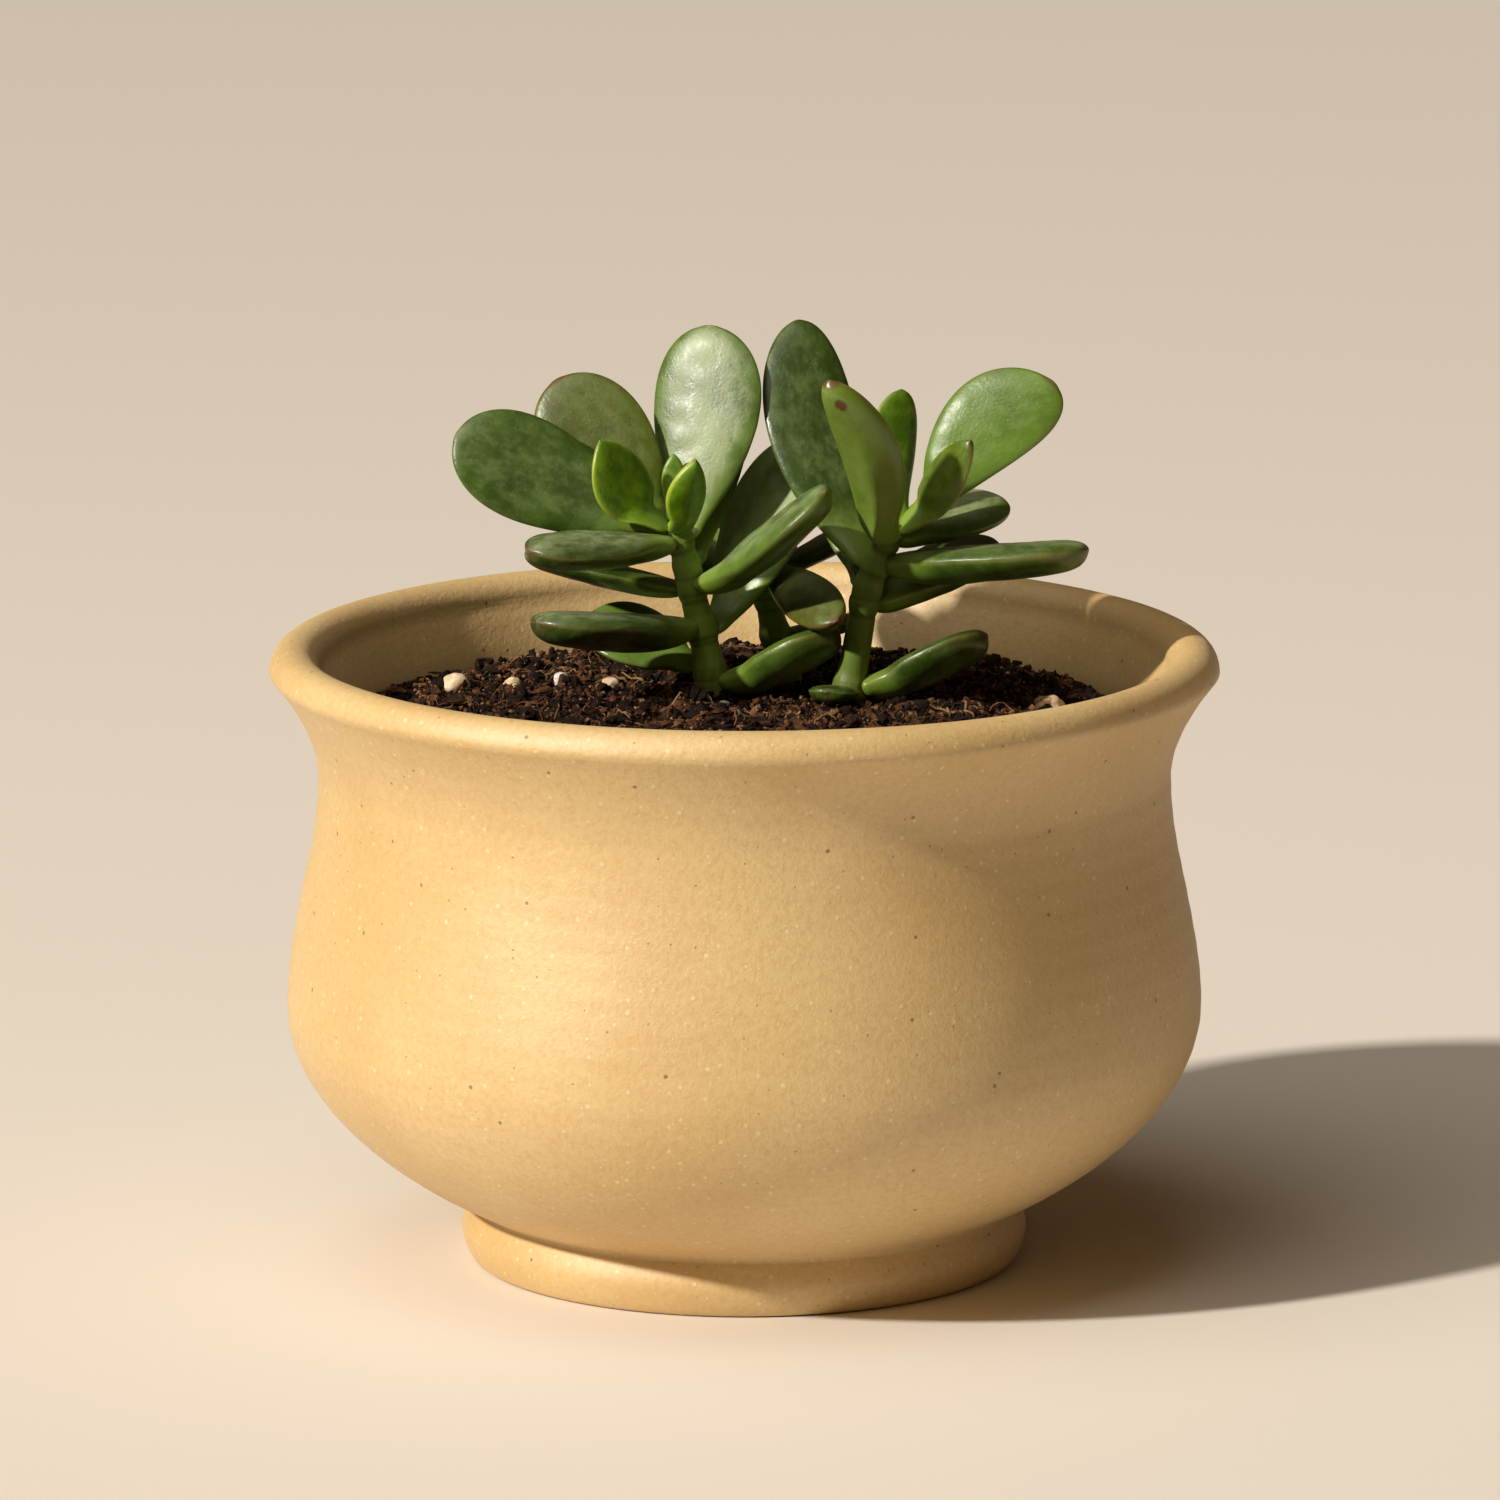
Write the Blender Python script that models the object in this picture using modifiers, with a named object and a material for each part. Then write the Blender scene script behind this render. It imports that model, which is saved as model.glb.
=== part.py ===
"""Potted jade plant: a turned stoneware pot, its soil and three leafy stems."""

import math

import bmesh
import bpy
from mathutils import Matrix, Vector

MM = 0.001

# Pot, measured from its axis and from the face it stands on
RIM_RADIUS = 60.0 * MM
POT_HEIGHT = 79.0 * MM
LIP_WIDTH = 6.4 * MM
NECK_RADIUS = 53.9 * MM
NECK_DROP = 16.5 * MM  # rim down to the narrowest part of the neck
BELLY_RADIUS = 58.0 * MM
BELLY_HEIGHT = 33.0 * MM
WAIST_RADIUS = 34.4 * MM
FOOT_HEIGHT = 7.5 * MM
FOOT_BULGE = 1.6 * MM
FOOT_WIDTH = 6.0 * MM
FOOT_RECESS = 3.5 * MM
WALL = 4.4 * MM
FLOOR_HEIGHT = 10.0 * MM
DRAIN_RADIUS = 6.0 * MM
POT_SIDES = 48
BELLY_FULLNESS = 0.88  # below 1 the belly swells sooner above the foot
FLARE = 1.8  # how late the neck turns out to the rim
FOOT_STEPS = 5

# Soil
SOIL_DROP = 10.0 * MM  # rim down to the soil at the wall
SOIL_MOUND = 1.4 * MM  # the middle stands this much higher
SOIL_LUMP = 0.4 * MM
SOIL_LUMP_PITCH = 9.0 * MM
SOIL_LUMP_TURNS = (2.1, 1.7)  # how fast the lumps follow each other along x and y
SOIL_RINGS = 8
GAP = 0.3 * MM  # left between pieces that touch

NECK_HEIGHT = POT_HEIGHT - NECK_DROP
SOIL_LEVEL = POT_HEIGHT - SOIL_DROP

# Stems: where each leaves the soil, then its points as (x, y, height above the soil at the wall)
STEM_RADIUS = 2.0 * MM
STEM_TIP_RADIUS = 1.5 * MM
STEM_ROOT_DEPTH = 12.0 * MM
STEMS = {
    "left": [(-4.0, 8.0, 2.0), (-4.4, 8.0, 5.0), (-5.4, 8.0, 10.0), (-6.6, 8.0, 15.0), (-7.4, 7.8, 19.0),
             (-8.2, 7.6, 22.0)],
    "right": [(13.0, 4.0, 2.0), (13.6, 4.0, 5.0), (14.6, 4.0, 11.0), (15.4, 4.0, 16.0), (16.8, 3.9, 20.0),
              (18.0, 3.8, 22.4)],
    "back": [(5.0, 19.0, 2.0), (4.4, 19.3, 5.0), (3.2, 19.7, 11.0), (2.4, 20.0, 15.0), (2.0, 20.0, 17.0)],
}

# Leaves: height above the soil at the wall, azimuth and rise of the midrib, roll about it
# (degrees), length, width, thickness (mm) and how far the tip curls up as a share of the length
LEAVES = {
    "left": [
        (3.8, -15, 27, -20, 18.0, 9.4, 4.4, 0.00),
        (5.4, 150, 20, -25, 18.0, 11.0, 3.0, 0.00),
        (10.8, -142, 8, 2, 26.0, 12.0, 4.8, 0.00),
        (10.0, 44, 58, 6, 27.6, 13.0, 3.2, 0.00),
        (15.4, 148, 6, 10, 24.5, 12.0, 3.2, 0.00),
        (16.4, -37, 37, 24, 25.4, 11.2, 4.6, 0.00),
        (21.8, -145, 3, -10, 23.0, 10.0, 3.8, 0.00),
        (18.6, 73, 56, 24, 30.0, 8.4, 2.8, 0.00),
        (23.0, 177, 25, -60, 30.5, 14.0, 3.2, 0.02),
        (22.0, 72, 70, -4, 28.0, 14.6, 3.4, 0.00),
        (22.6, 145, 48, -50, 26.0, 14.0, 3.0, 0.00),
        (24.0, 190, 56, -60, 14.5, 8.5, 2.0, 0.05),
        (23.6, -68, 66, 0, 11.5, 5.0, 1.8, 0.05),
        (24.8, 90, 78, 0, 8.0, 3.0, 1.5, 0.00),
    ],
    "right": [
        (3.8, 0, 24, -28, 18.4, 9.0, 4.4, 0.00),
        (3.4, -110, 10, 0, 9.0, 6.0, 2.4, 0.00),
        (14.4, 42, 17, 0, 22.0, 13.0, 4.0, 0.00),
        (19.7, -12, 6, -4, 27.2, 11.4, 4.6, 0.00),
        (19.2, 120, 60, -8, 34.5, 12.0, 3.6, 0.00),
        (22.6, 46, 10, 8, 20.0, 12.4, 3.2, 0.00),
        (16.6, 92, 44, 0, 19.0, 11.0, 3.0, 0.00),
        (22.8, -118, 60, 15, 27.6, 7.8, 3.7, 0.00),
        (24.4, 8, 46, 62, 26.8, 12.0, 3.2, 0.00),
        (24.4, -36, 54, 78, 16.5, 6.0, 2.2, 0.00),
        (24.2, 82, 76, 30, 17.5, 6.4, 2.2, 0.00),
    ],
    "back": [
        (7.4, 20, 10, -10, 11.0, 7.5, 2.8, 0.00),
        (16.6, -67, -9, 34, 24.5, 7.0, 3.4, 0.00),
        (12.0, 100, 24, 0, 20.0, 12.0, 3.2, 0.00),
        (13.6, 160, 32, 0, 20.0, 11.0, 3.0, 0.00),
        (16.4, 0, 26, 0, 16.0, 10.0, 3.0, 0.00),
        (17.6, 75, 52, 0, 15.0, 8.0, 2.4, 0.00),
        (18.6, 140, 62, 0, 12.0, 6.4, 2.0, 0.00),
    ],
}
LEAF_WIDEST = 0.62  # where along the leaf it is widest
LEAF_NECK = 3.2 * MM  # width where it meets the stem
LEAF_NECK_ROUNDING = 0.05
LEAF_BLUNTNESS = 5  # higher keeps the thickness nearer to both ends
LEAF_FULL_MIDDLE = 0.26  # share of the thickness that only the middle has
LEAF_EDGE = 1.2  # above 1 the margin is crisp
LEAF_STAND_OFF = 0.3  # of the thickness, further from the stem as the leaf stands up
LEAF_UPPER_SHARE = 0.38  # of the thickness, above the margin
LEAF_SEGMENTS = 10
LEAF_RINGS = 9

# Grains lying on the soil: x, y and diameter in mm
PERLITE = [(-23.4, 22.5, 2.6), (-2.6, 3.2, 2.0), (-1.2, -3.4, 1.6), (22.0, 30.0, 2.4)]
PEBBLES = [(-29.5, 14.8, 3.4), (-36.7, 13.7, 3.6), (-17.0, 19.5, 2.8), (38.6, 7.7, 4.2)]

LIP_RADIUS = LIP_WIDTH / 2
LIP_HEIGHT = POT_HEIGHT - LIP_RADIUS


def clear_scene():
    for obj in list(bpy.data.objects):
        bpy.data.objects.remove(obj, do_unlink=True)


def new_collection(name):
    collection = bpy.data.collections.new(name)
    bpy.context.scene.collection.children.link(collection)
    return collection


def material(name, colour, roughness, metallic=0.0):
    made = bpy.data.materials.new(name)
    made.use_nodes = True
    shader = made.node_tree.nodes["Principled BSDF"]
    shader.inputs["Base Color"].default_value = (*colour, 1.0)
    shader.inputs["Roughness"].default_value = roughness
    shader.inputs["Metallic"].default_value = metallic
    return made


def add_object(name, data, collection, finish):
    obj = bpy.data.objects.new(name, data)
    collection.objects.link(obj)
    if finish is not None:
        data.materials.append(finish)
    return obj


def evaluated_mesh(obj, name):
    """A mesh of the object with its modifiers applied, which then takes its place."""
    graph = bpy.context.evaluated_depsgraph_get()
    mesh = bpy.data.meshes.new_from_object(obj.evaluated_get(graph))
    mesh.name = name
    bm = bmesh.new()
    bm.from_mesh(mesh)
    bmesh.ops.remove_doubles(bm, verts=bm.verts, dist=0.01 * MM)
    bm.to_mesh(mesh)
    bm.free()
    bpy.data.objects.remove(obj, do_unlink=True)
    return mesh


def turned(name, profile, collection, finish):
    """A profile of (radius, height) points turned about +Z."""
    mesh = bpy.data.meshes.new(name)
    points = [(radius, 0.0, height) for radius, height in profile]
    edges = [(i, i + 1) for i in range(len(points) - 1)]
    mesh.from_pydata(points, edges, [])
    obj = add_object(name, mesh, collection, finish)
    screw = obj.modifiers.new("Turn", "SCREW")
    screw.axis = "Z"
    screw.steps = POT_SIDES
    screw.render_steps = POT_SIDES
    screw.use_merge_vertices = True
    screw.merge_threshold = 0.01 * MM
    screw.use_smooth_shade = True
    return obj


def outer_radius(height):
    """The pot's outside above its foot: a full belly, a drawn-in neck, then the flare to the rim."""
    if height < BELLY_HEIGHT:
        rise = (height - FOOT_HEIGHT) / (BELLY_HEIGHT - FOOT_HEIGHT)
        swell = (1 - (1 - rise) ** 2) ** BELLY_FULLNESS
        return WAIST_RADIUS + (BELLY_RADIUS - WAIST_RADIUS) * swell
    if height < NECK_HEIGHT:
        rise = (height - BELLY_HEIGHT) / (NECK_HEIGHT - BELLY_HEIGHT)
        return BELLY_RADIUS - (BELLY_RADIUS - NECK_RADIUS) * (1 - math.cos(math.pi * rise)) / 2
    rise = (height - NECK_HEIGHT) / (LIP_HEIGHT - NECK_HEIGHT)
    return NECK_RADIUS + (RIM_RADIUS - NECK_RADIUS) * rise ** FLARE


def inner_radius(height):
    """The pot's inside: the wall's thickness in from the outside, growing to the lip's width."""
    rise = max(0.0, (height - NECK_HEIGHT) / (LIP_HEIGHT - NECK_HEIGHT))
    return outer_radius(height) - WALL - (LIP_WIDTH - WALL) * rise ** FLARE


def heights(start, end, steps):
    return [start + (end - start) * i / steps for i in range(steps + 1)]


def wall_heights():
    """Where the pot's inside is sampled, from its floor to just under the lip."""
    return (heights(FLOOR_HEIGHT, BELLY_HEIGHT, 4) + heights(BELLY_HEIGHT, NECK_HEIGHT, 3)[1:]
            + heights(NECK_HEIGHT, LIP_HEIGHT, 4)[1:-1])


def pot_profile():
    """The pot's section as one closed line, down the outside and back up the inside."""
    points = []
    for i in range(7):
        turn = math.pi * i / 6
        points.append((RIM_RADIUS - LIP_RADIUS - LIP_RADIUS * math.cos(turn),
                       LIP_HEIGHT + LIP_RADIUS * math.sin(turn)))
    points += [(outer_radius(z), z) for z in heights(LIP_HEIGHT, NECK_HEIGHT, 4)[1:]]
    points += [(outer_radius(z), z) for z in heights(NECK_HEIGHT, BELLY_HEIGHT, 5)[1:]]
    for i in range(1, 8):
        ease = 1 - (i / 8) ** 1.4
        z = FOOT_HEIGHT + (BELLY_HEIGHT - FOOT_HEIGHT) * ease
        points.append((outer_radius(z), z))
    for i in range(FOOT_STEPS + 1):
        bulge = FOOT_BULGE * math.sin(math.pi * i / FOOT_STEPS)
        points.append((WAIST_RADIUS + bulge, FOOT_HEIGHT * (1 - i / FOOT_STEPS)))
    points.append((WAIST_RADIUS - FOOT_WIDTH, 0.0))
    points.append((WAIST_RADIUS - FOOT_WIDTH - FOOT_RECESS, FOOT_RECESS))
    points.append((DRAIN_RADIUS, FOOT_RECESS))
    points.append((DRAIN_RADIUS, FLOOR_HEIGHT))
    points += [(inner_radius(z), z) for z in wall_heights()]
    return points + [points[0]]


def soil_top(x, y):
    """Height of the soil's surface: a low mound with soft lumps."""
    reach = math.hypot(x, y) / inner_radius(SOIL_LEVEL)
    mound = SOIL_MOUND * max(0.0, 1 - reach ** 2)
    turns_x, turns_y = SOIL_LUMP_TURNS
    lumps = math.sin(x / SOIL_LUMP_PITCH * turns_x + 0.7) * math.cos(y / SOIL_LUMP_PITCH * turns_y)
    return SOIL_LEVEL + mound + SOIL_LUMP * lumps * max(0.0, 1 - reach ** 4)


def build_pot(collection):
    stoneware = material("stoneware", (0.72, 0.49, 0.18), 0.85)
    turned("pot", pot_profile(), collection, stoneware)


def build_soil(collection, cutters):
    profile = [(inner_radius(SOIL_LEVEL) * i / SOIL_RINGS, SOIL_LEVEL) for i in range(SOIL_RINGS)]
    below = [z for z in wall_heights() if FLOOR_HEIGHT < z < SOIL_LEVEL - GAP]
    profile += [(inner_radius(z) - GAP, z) for z in [SOIL_LEVEL] + below[::-1]]
    profile.append((inner_radius(FLOOR_HEIGHT) - GAP, FLOOR_HEIGHT + GAP))
    profile.append((0.0, FLOOR_HEIGHT + GAP))
    soil_mix = material("soil_mix", (0.06, 0.035, 0.02), 0.95)
    rough = turned("soil_turned", profile, collection, None)
    mesh = evaluated_mesh(rough, "soil")
    for vertex in mesh.vertices:
        if vertex.co.z > SOIL_LEVEL - GAP:
            vertex.co.z = soil_top(vertex.co.x, vertex.co.y)
    soil = add_object("soil", mesh, collection, soil_mix)
    mesh.shade_smooth()
    for name in STEMS:
        x, y, height = stem_points(name)[0]
        bm = bmesh.new()
        deep = STEM_ROOT_DEPTH + SOIL_DROP / 2
        bmesh.ops.create_cone(bm, cap_ends=True, segments=16, radius1=STEM_RADIUS + GAP,
                              radius2=STEM_RADIUS + GAP, depth=deep)
        socket_mesh = bpy.data.meshes.new(name + "_socket")
        bm.to_mesh(socket_mesh)
        bm.free()
        socket = add_object(name + "_socket", socket_mesh, cutters, None)
        socket.location = (x, y, root_end(name) - GAP + deep / 2)
        socket.hide_render = True
        socket.display_type = "WIRE"
        cut = soil.modifiers.new(name + " socket", "BOOLEAN")
        cut.operation = "DIFFERENCE"
        cut.object = socket


def stem_points(name):
    return [Vector((x * MM, y * MM, SOIL_LEVEL + height * MM)) for x, y, height in STEMS[name]]


def root_end(name):
    return SOIL_LEVEL - STEM_ROOT_DEPTH


def stem_at(name, height):
    """The middle of a stem at a height above the soil, carried on upwards past its top."""
    points = stem_points(name)
    level = SOIL_LEVEL + height
    for low, high in zip(points, points[1:]):
        if level <= high.z:
            break
    return low.lerp(high, (level - low.z) / (high.z - low.z))


def build_stem(name, collection, finish):
    """A tube that tapers to its tip, with its foot standing straight in its socket."""
    points = stem_points(name)
    foot = Vector((points[0].x, points[0].y, root_end(name)))
    route = [foot] + points
    curve = bpy.data.curves.new(name + "_stem", "CURVE")
    curve.dimensions = "3D"
    curve.bevel_depth = STEM_RADIUS
    curve.bevel_resolution = 2
    curve.use_fill_caps = True
    spline = curve.splines.new("POLY")
    spline.points.add(len(route) - 1)
    for i, (point, place) in enumerate(zip(spline.points, route)):
        taper = max(0, i - 1) / (len(route) - 2)
        point.co = (*place, 1.0)
        point.radius = 1 + (STEM_TIP_RADIUS / STEM_RADIUS - 1) * taper
    add_object(name + "_stem", curve, collection, finish)


def half_width(t, width):
    """An obovate outline: a narrow neck, widest past the middle, round at the tip."""
    swell = 0.5 * LEAF_WIDEST / (1 - LEAF_WIDEST)
    blade = width / 2 * (t / LEAF_WIDEST) ** swell * ((1 - t) / (1 - LEAF_WIDEST)) ** 0.5
    neck = LEAF_NECK / 2 * min(1.0, t / LEAF_NECK_ROUNDING) ** 0.5 * (1 - t) ** 0.5
    return (blade ** 3 + min(neck, width / 4) ** 3) ** (1 / 3)


def thickness_at(t, thickness):
    """Fullest at the middle and rounded off at both ends."""
    ends = max(0.0, 1 - abs(2 * t - 1) ** LEAF_BLUNTNESS) ** 0.5
    middle = max(0.0, math.sin(math.pi * t)) ** 0.8
    return thickness * ends * (1 - LEAF_FULL_MIDDLE + LEAF_FULL_MIDDLE * middle)


def leaf_frame(azimuth, rise, roll):
    """Directions along the midrib, across the blade and out of its upper face."""
    along = Matrix.Rotation(azimuth, 3, "Z") @ Matrix.Rotation(-rise, 3, "Y")
    turned_about = along @ Matrix.Rotation(roll, 3, "X")
    return turned_about.col[0], turned_about.col[1], turned_about.col[2]


def build_leaf(name, stem, sizes, collection, finish):
    height, azimuth, rise, roll, length, width, thickness, curl = sizes
    azimuth, rise, roll = (math.radians(angle) for angle in (azimuth, rise, roll))
    length, width, thickness = (size * MM for size in (length, width, thickness))
    midrib, across, upward = leaf_frame(azimuth, rise, roll)
    outward = Vector((math.cos(azimuth), math.sin(azimuth), 0.0))
    middle = stem_at(stem, height * MM)
    reach = STEM_RADIUS + GAP + LEAF_STAND_OFF * thickness * abs(math.sin(rise))
    start = middle + outward * reach
    length -= reach * math.cos(rise)

    bm = bmesh.new()
    bmesh.ops.create_uvsphere(bm, u_segments=LEAF_SEGMENTS, v_segments=LEAF_RINGS, radius=1.0)
    for vertex in bm.verts:
        ring = math.hypot(vertex.co.x, vertex.co.y)
        side, face = (vertex.co.x / ring, vertex.co.y / ring) if ring > 1e-6 else (0.0, 0.0)
        t = min(1.0, max(0.0, (1 + vertex.co.z) / 2))
        share = LEAF_UPPER_SHARE if face > 0 else 1 - LEAF_UPPER_SHARE
        lift = math.copysign(share * thickness_at(t, thickness) * abs(face) ** LEAF_EDGE, face)
        place = start + midrib * (length * t) + across * (half_width(t, width) * side)
        vertex.co = place + upward * (lift + curl * length * t ** 2)
    mesh = bpy.data.meshes.new(name)
    bm.to_mesh(mesh)
    bm.free()
    mesh.shade_smooth()
    add_object(name, mesh, collection, finish)


def build_grain(name, x, y, size, squash, collection, finish):
    """A small stone, a little flattened, resting on the soil."""
    bm = bmesh.new()
    bmesh.ops.create_icosphere(bm, subdivisions=1, radius=size / 2)
    for vertex in bm.verts:
        vertex.co.y *= squash
        vertex.co.z *= squash
    mesh = bpy.data.meshes.new(name)
    bm.to_mesh(mesh)
    bm.free()
    grain = add_object(name, mesh, collection, finish)
    under = max(soil_top(x + size / 2 * math.cos(turn), y + size / 2 * math.sin(turn))
                for turn in heights(0.0, 2 * math.pi, 8))
    grain.location = (x, y, max(under, soil_top(x, y)) + size / 2 * squash + GAP)


def build_plant(collection):
    bark = material("stem_green", (0.16, 0.24, 0.05), 0.5)
    leaf_green = material("leaf_green", (0.08, 0.20, 0.04), 0.35)
    for name in STEMS:
        build_stem(name, collection, bark)
        for i, sizes in enumerate(LEAVES[name]):
            build_leaf(f"{name}_leaf_{i + 1:02d}", name, sizes, collection, leaf_green)


def build_grains(collection):
    white = material("perlite", (0.85, 0.83, 0.78), 0.9)
    tan = material("pebble_tan", (0.50, 0.36, 0.22), 0.8)
    for kind, grains, squash, finish in (("perlite", PERLITE, 0.85, white), ("pebble", PEBBLES, 0.7, tan)):
        for i, (x, y, size) in enumerate(grains):
            build_grain(f"{kind}_{i + 1}", x * MM, y * MM, size * MM, squash, collection, finish)


def main():
    clear_scene()
    plant = new_collection("potted_jade_plant")
    cutters = new_collection("cutters")
    build_pot(plant)
    build_soil(plant, cutters)
    build_plant(plant)
    build_grains(plant)


main()
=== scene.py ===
import math

import bpy
import numpy as np
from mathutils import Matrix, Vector


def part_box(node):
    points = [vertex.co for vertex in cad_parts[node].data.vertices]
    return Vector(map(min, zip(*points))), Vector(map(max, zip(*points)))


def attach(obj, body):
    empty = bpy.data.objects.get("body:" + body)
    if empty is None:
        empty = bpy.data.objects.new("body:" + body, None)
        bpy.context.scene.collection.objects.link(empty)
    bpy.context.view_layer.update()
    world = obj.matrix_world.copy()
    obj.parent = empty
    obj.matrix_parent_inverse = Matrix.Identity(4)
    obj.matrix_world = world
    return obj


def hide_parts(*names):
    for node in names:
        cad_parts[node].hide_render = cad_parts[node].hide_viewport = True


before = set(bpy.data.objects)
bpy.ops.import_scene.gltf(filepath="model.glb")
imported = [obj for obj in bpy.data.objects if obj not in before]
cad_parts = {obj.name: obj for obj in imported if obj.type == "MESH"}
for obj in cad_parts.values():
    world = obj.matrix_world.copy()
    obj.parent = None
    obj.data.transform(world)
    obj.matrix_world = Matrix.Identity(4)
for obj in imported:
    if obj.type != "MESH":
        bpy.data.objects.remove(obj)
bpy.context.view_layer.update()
mm = 0.001
chance = np.random.default_rng(11)


def linearColour(code):
    # an sRGB hex colour turned to linear light
    srgb = np.array([int(code[i:i + 2], 16) for i in (1, 3, 5)]) / 255
    linear = np.where(srgb <= 0.04045, srgb / 12.92, ((srgb + 0.055) / 1.055) ** 2.4)
    return (*linear.tolist(), 1.0)


def ease(x):
    # 0 to 1 with a soft start and end
    x = np.clip(x, 0.0, 1.0)
    return x * x * (3 - 2 * x)


def hills(points, pitch, seed):
    # smooth random heights from -1 to 1: values on a lattice of this pitch, eased between its corners
    cell = points / pitch
    corner = np.floor(cell).astype(np.int64)
    part = ease(cell - corner)
    total = np.zeros(points.shape[:-1])
    for step in np.ndindex(2, 2, 2):
        at = corner + step
        key = at[..., 0] * 73856093 ^ at[..., 1] * 19349663 ^ at[..., 2] * 83492791 ^ seed * 15485863
        key = (key ^ (key >> 13)) * 1274126177 & 0xFFFFFFFF
        value = ((key ^ (key >> 16)) & 0xFFFF) / 32767.5 - 1
        weight = np.prod(np.where(np.array(step) == 1, part, 1 - part), axis=-1)
        total += weight * value
    return total


def roughHills(points, pitch, seed, octaves=3):
    # hills on hills: each layer half the size and half the height of the one before
    return sum(hills(points, pitch / 2 ** i, seed + i) / 2 ** i for i in range(octaves))


def ballFaces(rows, around, count=1):
    # closed shapes of rings with a point at either end: rows * around ring points, then the two ends
    r, c = np.meshgrid(np.arange(rows - 1), np.arange(around), indexing="ij")
    r, c, d = r.ravel(), c.ravel(), (c.ravel() + 1) % around
    quads = np.stack([r * around + c, r * around + d, (r + 1) * around + d, (r + 1) * around + c], axis=1)
    c = np.arange(around)
    d = (c + 1) % around
    first, last = rows * around, rows * around + 1
    top = (rows - 1) * around
    ends = np.concatenate([np.stack([d, c, np.full(around, first)], axis=1),
                           np.stack([top + c, top + d, np.full(around, last)], axis=1)])
    shift = np.arange(count)[:, None, None] * (last + 1)
    return (quads + shift).reshape(-1, 4), (ends + shift).reshape(-1, 3)


def wrapFaces(rows, around):
    # rings that close on themselves both ways, as on a hollow turned wall
    r, c = np.meshgrid(np.arange(rows), np.arange(around), indexing="ij")
    r, c = r.ravel(), c.ravel()
    s, d = (r + 1) % rows, (c + 1) % around
    quads = np.stack([r * around + c, r * around + d, s * around + d, s * around + c], axis=1)
    return quads, np.zeros((0, 3), int)


def makePiece(name, points, faces, finish, slot, stands=(), values=None, smooth=True):
    # one mesh piece from arrays, faces turned outwards, riding on the root body
    quads, ends = faces
    points = np.asarray(points, float).reshape(-1, 3)
    triangles = np.concatenate([quads[:, :3], quads[:, [0, 2, 3]], ends])
    a, b, c = (points[triangles[:, i]] for i in range(3))
    if np.einsum("ij,ij->i", a, np.cross(b, c)).sum() < 0:
        quads, ends = quads[:, ::-1], ends[:, ::-1]
    mesh = bpy.data.meshes.new(name)
    mesh.vertices.add(len(points))
    mesh.vertices.foreach_set("co", points.astype(np.float32).ravel())
    mesh.loops.add(quads.size + ends.size)
    mesh.loops.foreach_set("vertex_index", np.concatenate([quads.ravel(), ends.ravel()]).astype(np.int32))
    starts = np.concatenate([np.arange(len(quads)) * 4, quads.size + np.arange(len(ends)) * 3])
    mesh.polygons.add(len(starts))
    mesh.polygons.foreach_set("loop_start", starts.astype(np.int32))
    mesh.polygons.foreach_set("use_smooth", np.full(len(starts), smooth))
    for key, value in (values or {}).items():
        if np.ndim(value) == 2:
            mesh.attributes.new(key, "FLOAT_VECTOR", "POINT").data.foreach_set("vector", np.ravel(value))
        else:
            mesh.attributes.new(key, "FLOAT", "POINT").data.foreach_set("value", np.ravel(value))
    mesh.update(calc_edges=True)
    mesh.validate()
    mesh.materials.append(finish)
    piece = bpy.data.objects.new(name, mesh)
    bpy.context.scene.collection.objects.link(piece)
    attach(piece, "root")
    if stands:
        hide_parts(*stands)
    return piece


add = dict(operation="ADD")
multiply = dict(operation="MULTIPLY")
timesPlus = dict(operation="MULTIPLY_ADD")
soft = dict(interpolation_type="SMOOTHSTEP")
blend = dict(data_type="RGBA")


def addNode(tree, kind, *values, output=None, **named):
    # one shader node. Values or links fill its open inputs in order, or an input by its name, and names in
    # lower case are the node's own settings. Gives the output asked for, or the first open one
    made = tree.nodes.new("ShaderNode" + kind)
    for key in [key for key in named if key.islower()]:
        setattr(made, key, named.pop(key))
    inOrder = zip([socket for socket in made.inputs if socket.enabled], values)
    byName = ((made.inputs[key], value) for key, value in named.items())
    for socket, value in [*inOrder, *byName]:
        if isinstance(value, bpy.types.NodeSocket):
            tree.links.new(value, socket)
        else:
            socket.default_value = value
    return made.outputs[output] if output else next(socket for socket in made.outputs if socket.enabled)


def startMaterial(name, **constants):
    # a material whose shader has these fixed values on its own sockets
    made = bpy.data.materials.new(name)
    made.use_nodes = True
    tree = made.node_tree
    shader = tree.nodes["Principled BSDF"]
    for key, value in constants.items():
        shader.inputs[key.replace("_", " ")].default_value = value
    return made, tree, shader


def perMetre(size):
    # the scale that makes a pattern repeat about every so many millimetres
    return 1000 / size


def paintOver(tree, colour, tint, mask, strength=1.0):
    # a tint laid over a colour where the mask is bright: mix(colour, tint, mask * strength)
    share = addNode(tree, "Math", mask, strength, **multiply)
    return addNode(tree, "Mix", share, colour, linearColour(tint), **blend)


def specks(tree, place, spacing, radius, share):
    # round specks with soft edges: one in each cell of this spacing (mm), kept in only a share of the cells
    distance = addNode(tree, "TexVoronoi", Vector=place, Scale=perMetre(spacing))
    size = radius / spacing
    dot = addNode(tree, "MapRange", distance, size * 0.75, size * 1.15, 1.0, 0.0, **soft)
    lot = addNode(tree, "SeparateColor", distance.node.outputs["Color"])
    kept = addNode(tree, "MapRange", lot, share * 0.9, share * 1.1 + 0.001, 1.0, 0.0, **soft)
    return addNode(tree, "Math", dot, kept, **multiply)


def giveSurface(tree, shader, colour, relief, strength, depth):
    # the finished colour, and the relief as a bump of this depth in millimetres
    tree.links.new(colour, shader.inputs["Base Color"])
    bump = addNode(tree, "Bump", Height=relief, Strength=strength, Distance=depth * mm)
    tree.links.new(bump, shader.inputs["Normal"])


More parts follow.
